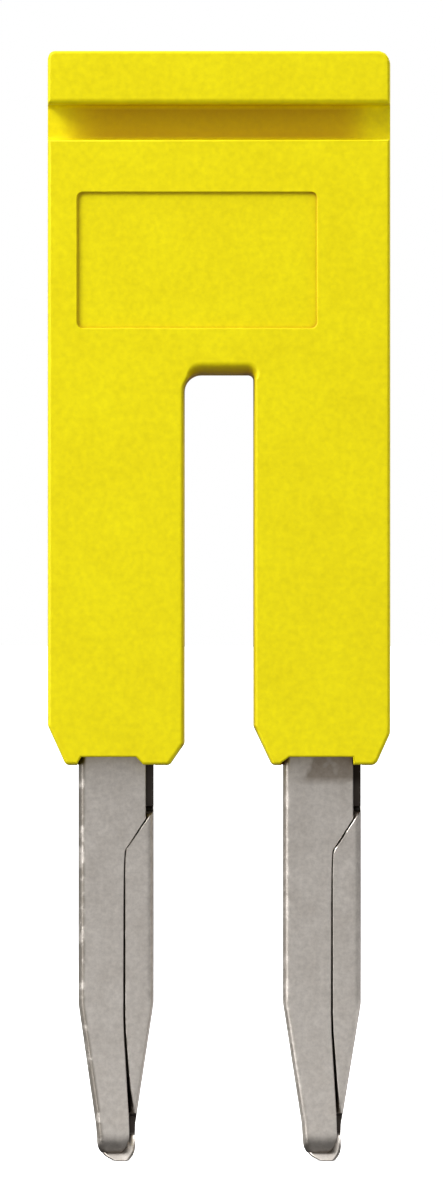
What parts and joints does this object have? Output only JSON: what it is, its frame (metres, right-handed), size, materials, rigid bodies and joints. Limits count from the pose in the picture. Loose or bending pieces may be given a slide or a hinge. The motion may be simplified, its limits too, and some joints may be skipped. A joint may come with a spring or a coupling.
{
  "type": "plug-in terminal block jumper",
  "caption": "Flat plug-in jumper for rail-mounted terminal blocks: moulded housing with a grip head and a slot between its legs, and a folded contact comb with tapered pins.",
  "frame": {"origin": "midway between the two pins, on the plane of the leg undersides that seat on the terminal block", "axes": "+Z is the pull-out direction and the pins point to -Z, X runs along the row of terminals, and the front with the label field looks to -Y"},
  "size_m": [0.0086, 0.0028, 0.0275],
  "materials": {
    "housing_plastic": "satin moulded yellow",
    "tinned_copper": "satin tin plating over copper alloy"
  },
  "bodies": {
    "root": {"housing_front_shell": "housing_plastic", "housing_rear_shell": "housing_plastic", "contact_comb": "tinned_copper"}
  },
  "joints": []
}
